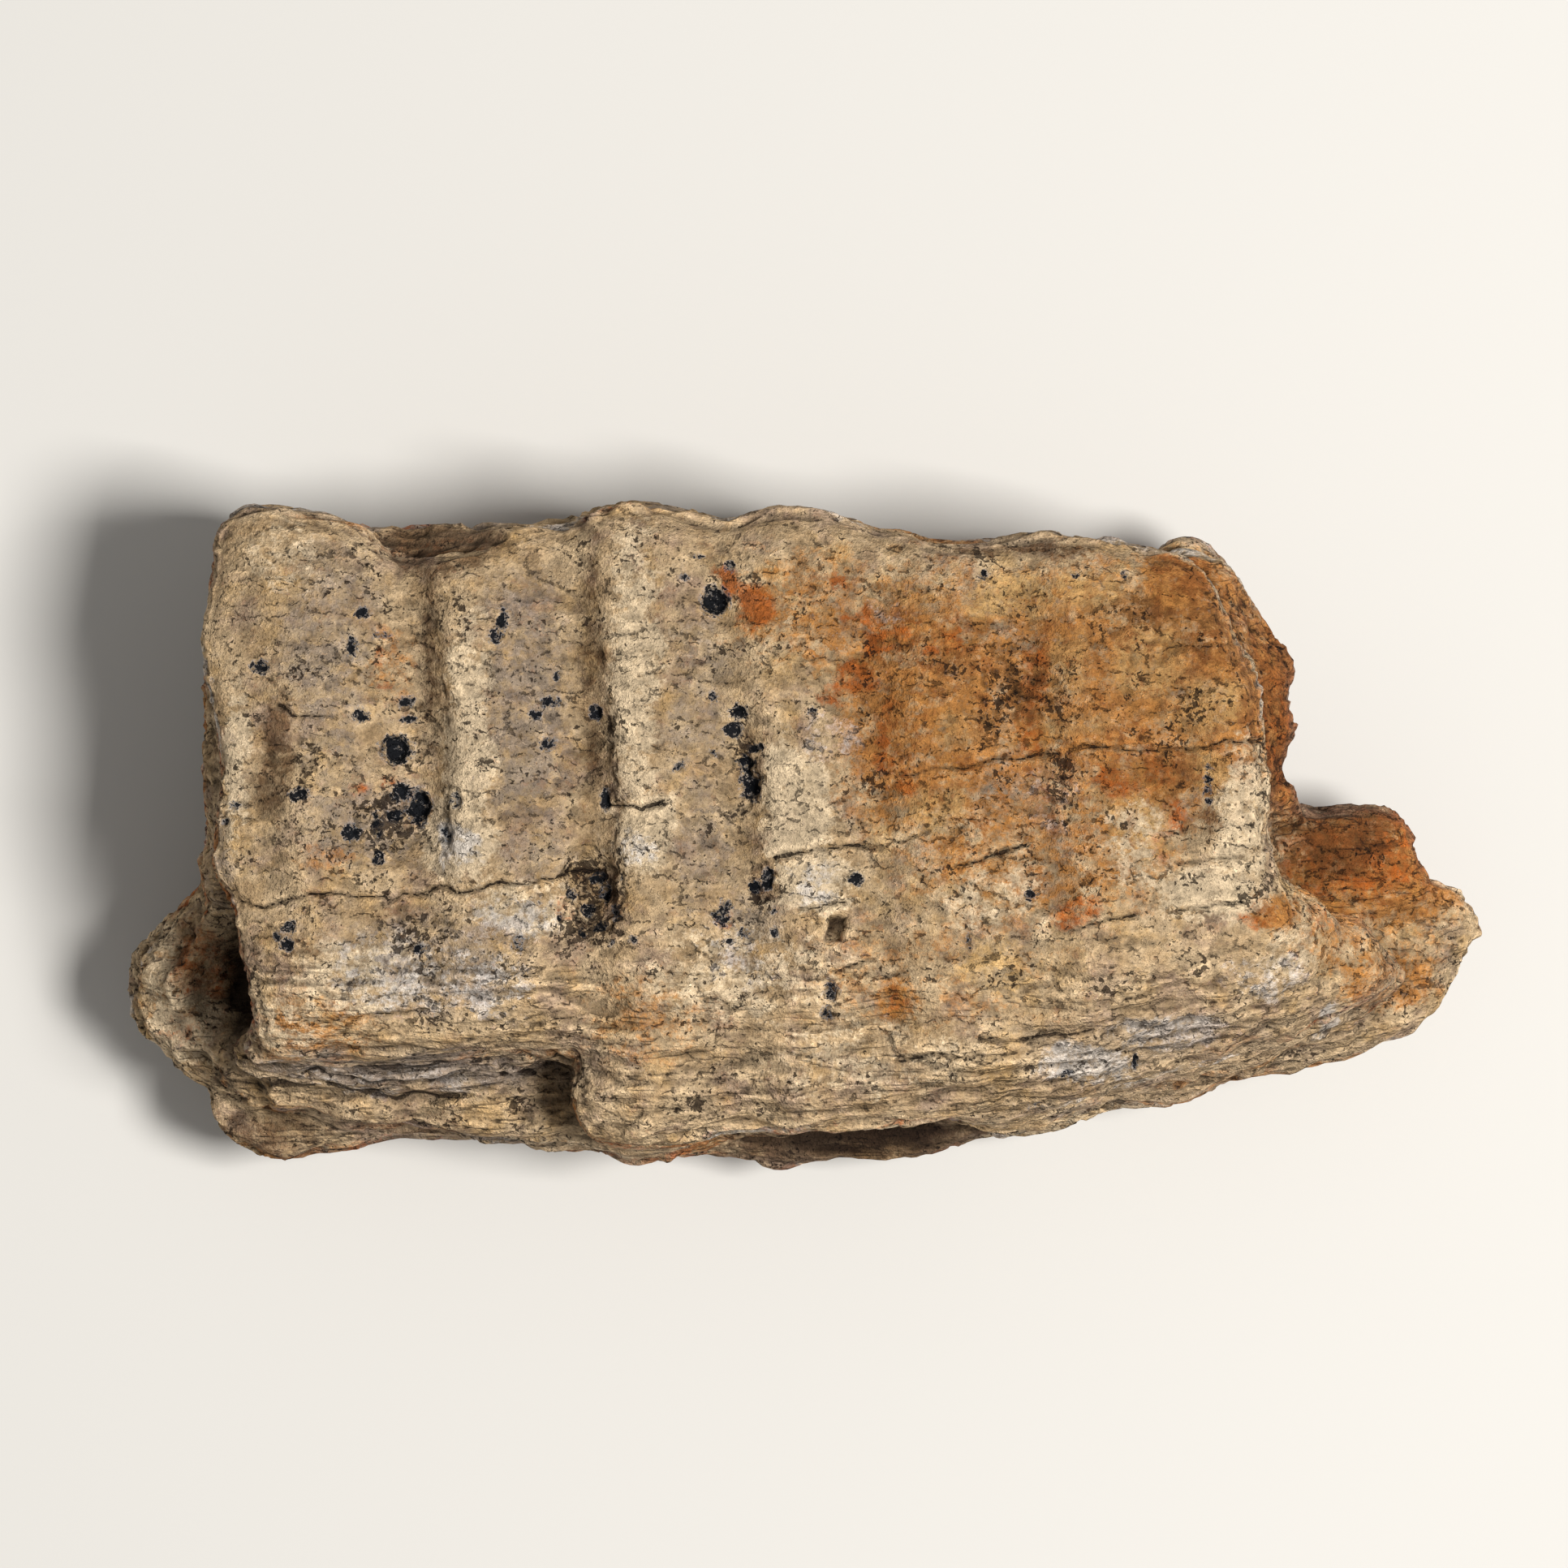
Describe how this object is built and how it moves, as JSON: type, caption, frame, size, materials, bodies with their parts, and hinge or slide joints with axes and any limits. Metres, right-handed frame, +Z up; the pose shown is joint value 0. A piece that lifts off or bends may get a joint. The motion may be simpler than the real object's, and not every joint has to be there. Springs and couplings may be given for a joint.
{
  "type": "fossil edmontosaurus maxilla",
  "caption": "Fossil fragment of an edmontosaurus upper jaw with the grooved wall of its tooth battery, weathered tan and rust, lying on its worn back.",
  "frame": {"origin": "on the surface that the bone rests on, under the middle of its outline", "axes": "+X along the jaw, +Y across it towards its thin edge, +Z up, out of the grooved wall"},
  "size_m": [0.082, 0.04, 0.0255],
  "materials": {
    "fossil_bone": "dry, weathered and porous, tan with rust stains"
  },
  "bodies": {
    "root": {"maxilla": "fossil_bone"}
  },
  "joints": []
}
